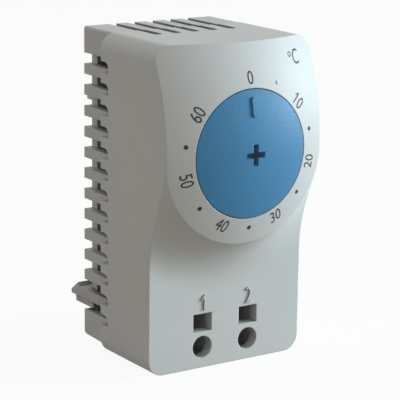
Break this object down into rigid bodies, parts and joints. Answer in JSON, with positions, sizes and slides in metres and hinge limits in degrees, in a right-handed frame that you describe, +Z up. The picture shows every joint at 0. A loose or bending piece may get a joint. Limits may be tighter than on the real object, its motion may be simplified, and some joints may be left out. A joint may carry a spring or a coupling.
{
  "type": "bimetal thermostat",
  "caption": "Light grey enclosure thermostat: blue set dial flush in a domed front, push-in wire terminals below, comb vents down both sides and a spring latch for a mounting rail.",
  "frame": {"origin": "bottom centre of the overall box", "axes": "+Z up as mounted, front with the dial faces -Y, rail behind at +Y"},
  "size_m": [0.033, 0.0404, 0.06],
  "materials": {
    "housing": "fine satin moulded, light grey",
    "base": "fine satin moulded, light grey",
    "dial": "satin moulded, mid blue",
    "frame": "moulded, black",
    "steel": "stamped spring steel",
    "brass": "stamped or turned",
    "contact": "silver contact rivet",
    "bimetal": "rolled two-layer strip",
    "magnet": "sintered ferrite"
  },
  "bodies": {
    "case": {"front_housing": "housing", "rear_base": "base", "mechanism_frame": "frame", "frame_screws": "steel", "lever_pin": "steel", "strip_bracket": "brass", "strip_rivets": "brass", "lever_bracket": "brass", "clamp_spring_1": "steel", "clamp_spring_2": "steel"},
    "dial_body": {"dial": "dial", "friction_washer": "steel", "dial_clip": "steel"},
    "screw_body": {"setting_screw": "brass"},
    "lever_body": {"range_lever": "steel", "calibration_screw": "brass", "fixed_contact": "contact", "snap_magnet": "magnet"},
    "strip_body": {"bimetal_strip": "bimetal", "moving_contact": "contact", "armature": "steel"},
    "latch_body": {"rail_latch": "base"}
  },
  "joints": [
    {"name": "dial_turn", "type": "hinge", "parent": "case", "child": "dial_body", "pos_m": [0, -0.0168, 0.04055], "axis": [0, 1, 0], "range_deg": [0, 306]},
    {"name": "screw_slide", "type": "slide", "parent": "case", "child": "screw_body", "axis": [0, -1, 0], "range_m": [0, 0.00102]},
    {"name": "lever_swing", "type": "hinge", "parent": "case", "child": "lever_body", "pos_m": [0, 0.0017, 0.0185], "axis": [1, 0, 0], "range_deg": [0, 2.65]},
    {"name": "strip_bend", "type": "hinge", "parent": "case", "child": "strip_body", "pos_m": [0, 0.0049, 0.018], "axis": [-1, 0, 0], "range_deg": [0, 1.5], "stiffness_Nm_per_rad": 0.05},
    {"name": "latch_release", "type": "hinge", "parent": "case", "child": "latch_body", "pos_m": [0, 0.00148, 0.00863], "axis": [-1, 0, 0], "range_deg": [0, 2.4], "stiffness_Nm_per_rad": 1}
  ],
  "couplings": [
    {"joint": "dial_turn", "follows": "screw_slide", "rad_per_m": 5236},
    {"joint": "lever_swing", "follows": "screw_slide", "rad_per_m": 45.293}
  ]
}
